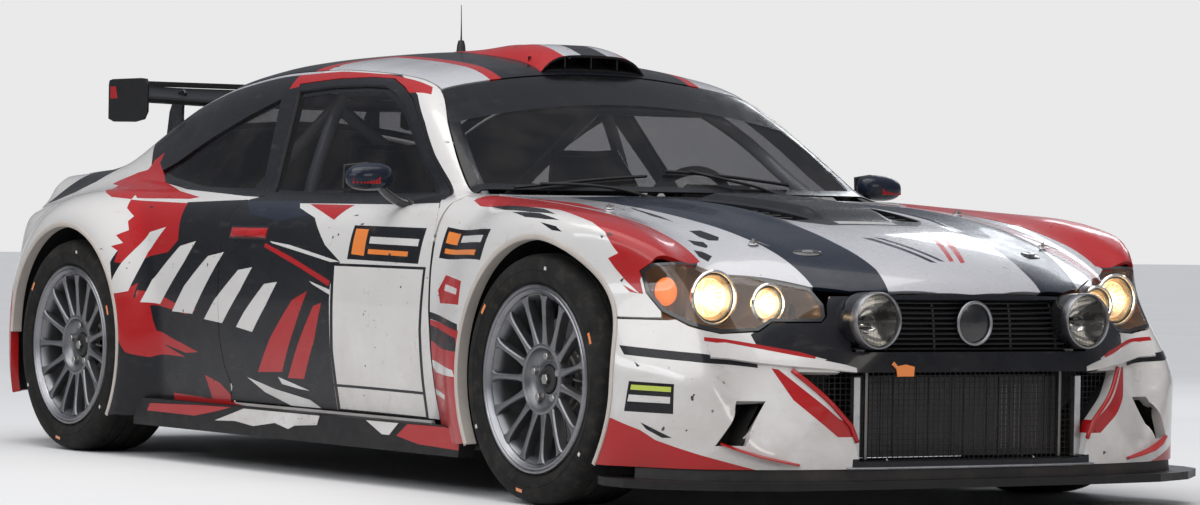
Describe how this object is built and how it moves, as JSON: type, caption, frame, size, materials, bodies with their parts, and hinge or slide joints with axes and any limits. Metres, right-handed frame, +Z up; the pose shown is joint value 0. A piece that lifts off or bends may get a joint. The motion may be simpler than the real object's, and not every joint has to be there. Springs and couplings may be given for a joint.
{
  "type": "two-door rally car",
  "caption": "Low wide-bodied two-door rally car with opening doors, hood and trunk lid, steering front wheels, a rear wing, a roof scoop and a full cabin.",
  "frame": {"origin": "on the ground, midway between the front tip of the splitter and the rearmost face, on the centre plane", "axes": "+X forward along the car, +Y to its left, +Z up"},
  "size_m": [4.31, 1.968, 1.447],
  "materials": {
    "shell_paint": "gloss white, red, black and dark blue colour blocks",
    "black_trim": "satin black",
    "carbon": "dark woven composite",
    "glass_clear": "clear",
    "lens_clear": "clear lens over chrome reflectors",
    "lens_red": "red lens",
    "lamp_housing": "gloss black",
    "tyre_rubber": "slick",
    "rim_metal": "gunmetal",
    "disc_iron": "machined",
    "knuckle_metal": "cast",
    "floor_metal": "dark grey",
    "cage_metal": "light grey",
    "seat_cloth": "black cloth over a composite shell",
    "dash_plastic": "matt black",
    "helm_leather": "suede",
    "core_metal": "raw fins",
    "engine_metal": "plain block",
    "steel_tube": "heat-tinted",
    "arm_steel": "black"
  },
  "bodies": {
    "chassis": {"right_side_frame": "shell_paint", "left_side_frame": "shell_paint", "quarter_windows": "glass_clear", "right_front_fender": "shell_paint", "left_front_fender": "shell_paint", "cowl_panel": "black_trim", "windshield": "glass_clear", "roof_panel": "shell_paint", "rear_window": "glass_clear", "front_bumper": "shell_paint", "grille": "black_trim", "headlights": "lens_clear", "rear_bumper": "shell_paint", "tail_panel": "shell_paint", "tail_lamps": "lens_red", "floor_pan": "floor_metal", "chassis_rails": "floor_metal", "wheel_liners": "black_trim", "side_skirts": "carbon", "front_splitter": "carbon", "rear_diffuser": "carbon", "roof_scoop": "carbon", "antenna": "black_trim", "engine_block": "engine_metal", "intercooler": "core_metal", "spot_lamps": "lamp_housing", "seats": "seat_cloth", "dashboard": "dash_plastic", "roll_cage": "cage_metal", "front_arms": "arm_steel", "rear_axle": "knuckle_metal", "exhaust": "steel_tube"},
    "hood": {"hood": "shell_paint"},
    "trunk_lid": {"trunk_lid": "shell_paint", "rear_wing": "carbon"},
    "left_door": {"left_door": "shell_paint", "left_door_glass": "glass_clear", "left_mirror": "black_trim"},
    "right_door": {"right_door": "shell_paint", "right_door_glass": "glass_clear", "right_mirror": "black_trim"},
    "left_knuckle": {"left_knuckle": "knuckle_metal"},
    "right_knuckle": {"right_knuckle": "knuckle_metal"},
    "steering_wheel": {"steering_wheel": "helm_leather"},
    "front_left_wheel": {"front_left_tyre": "tyre_rubber", "front_left_rim": "rim_metal", "front_left_disc": "disc_iron"},
    "front_right_wheel": {"front_right_tyre": "tyre_rubber", "front_right_rim": "rim_metal", "front_right_disc": "disc_iron"},
    "rear_left_wheel": {"rear_left_tyre": "tyre_rubber", "rear_left_rim": "rim_metal", "rear_left_disc": "disc_iron"},
    "rear_right_wheel": {"rear_right_tyre": "tyre_rubber", "rear_right_rim": "rim_metal", "rear_right_disc": "disc_iron"}
  },
  "joints": [
    {"name": "hood_hinge", "type": "hinge", "parent": "chassis", "child": "hood", "pos_m": [0.782, 0, 0.815], "axis": [0, -1, 0], "range_deg": [0, 50]},
    {"name": "trunk_hinge", "type": "hinge", "parent": "chassis", "child": "trunk_lid", "pos_m": [-1.512, 0, 1.07], "axis": [0, 1, 0], "range_deg": [0, 50]},
    {"name": "left_door_hinge", "type": "hinge", "parent": "chassis", "child": "left_door", "pos_m": [0.83, 0.868, 0.5], "axis": [0, 0, -1], "range_deg": [0, 62]},
    {"name": "right_door_hinge", "type": "hinge", "parent": "chassis", "child": "right_door", "pos_m": [0.83, -0.868, 0.5], "axis": [0, 0, 1], "range_deg": [0, 62]},
    {"name": "left_kingpin", "type": "hinge", "parent": "chassis", "child": "left_knuckle", "pos_m": [1.38, 0.775, 0.34], "axis": [0, 0, 1], "range_deg": [-28, 28]},
    {"name": "right_kingpin", "type": "hinge", "parent": "chassis", "child": "right_knuckle", "pos_m": [1.38, -0.775, 0.34], "axis": [0, 0, 1], "range_deg": [-28, 28]},
    {"name": "helm_turn", "type": "hinge", "parent": "chassis", "child": "steering_wheel", "pos_m": [0.205, 0.37, 0.775], "axis": [-0.9272, 0, 0.3746], "range_deg": [-252, 252]},
    {"name": "front_left_spin", "type": "hinge", "parent": "left_knuckle", "child": "front_left_wheel", "pos_m": [1.38, 0.8225, 0.34], "axis": [0, 1, 0], "continuous": true},
    {"name": "front_right_spin", "type": "hinge", "parent": "right_knuckle", "child": "front_right_wheel", "pos_m": [1.38, -0.8225, 0.34], "axis": [0, 1, 0], "continuous": true},
    {"name": "rear_left_spin", "type": "hinge", "parent": "chassis", "child": "rear_left_wheel", "pos_m": [-1.38, 0.8225, 0.34], "axis": [0, 1, 0], "continuous": true},
    {"name": "rear_right_spin", "type": "hinge", "parent": "chassis", "child": "rear_right_wheel", "pos_m": [-1.38, -0.8225, 0.34], "axis": [0, 1, 0], "continuous": true}
  ],
  "couplings": [
    {"joint": "right_kingpin", "follows": "left_kingpin", "ratio": 1},
    {"joint": "helm_turn", "follows": "left_kingpin", "ratio": 9}
  ]
}
